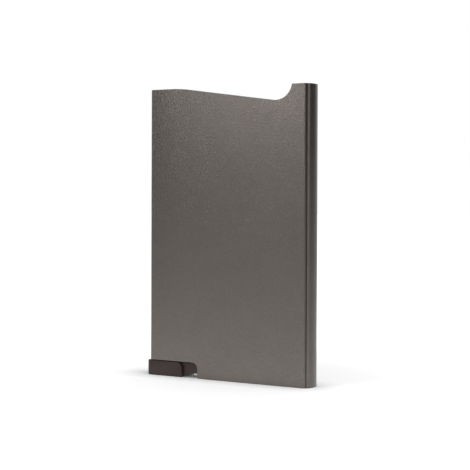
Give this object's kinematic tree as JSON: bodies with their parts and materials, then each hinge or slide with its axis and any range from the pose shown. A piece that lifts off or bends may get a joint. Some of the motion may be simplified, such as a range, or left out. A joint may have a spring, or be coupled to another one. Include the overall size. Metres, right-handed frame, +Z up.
{
  "type": "card holder",
  "caption": "Slim aluminium sleeve for payment cards, with a wave-cut mouth, a thumb notch and a corner slide lever that fans the cards out.",
  "frame": {"origin": "on the surface that the holder stands on, under the centre of its box; the lever stands out 1 mm at the left, so the sleeve's own middle is 0.5 mm to the right", "axes": "+Z up the sleeve from the lever's end to the mouth, the front faces -Y, and +X points from the lever's corner to the thumb notch"},
  "size_m": [0.061, 0.008, 0.095],
  "materials": {
    "anodised_aluminium": "gunmetal anodised over a fine bead blast, matt",
    "carrier_plastic": "moulded, fine grain",
    "lever_plastic": "moulded, smooth satin",
    "pin_steel": "ground",
    "strip_pile": "short pile"
  },
  "bodies": {
    "holder": {"sleeve": "anodised_aluminium", "front_carrier": "carrier_plastic", "rear_carrier": "carrier_plastic", "pivot_pin": "pin_steel", "left_card_strip": "strip_pile", "right_card_strip": "strip_pile"},
    "lever": {"slide_lever": "lever_plastic"},
    "arm": {"ejector_arm": "lever_plastic"}
  },
  "joints": [
    {"name": "lever_slide", "type": "slide", "parent": "holder", "child": "lever", "axis": [1, 0, 0], "range_m": [0, 0.0058]},
    {"name": "arm_turn", "type": "hinge", "parent": "holder", "child": "arm", "pos_m": [-0.0195, 0, 0.0076], "axis": [0, -1, 0], "range_deg": [0, 64.97]}
  ],
  "couplings": [
    {"joint": "arm_turn", "follows": "lever_slide", "rad_per_m": 195.49}
  ]
}
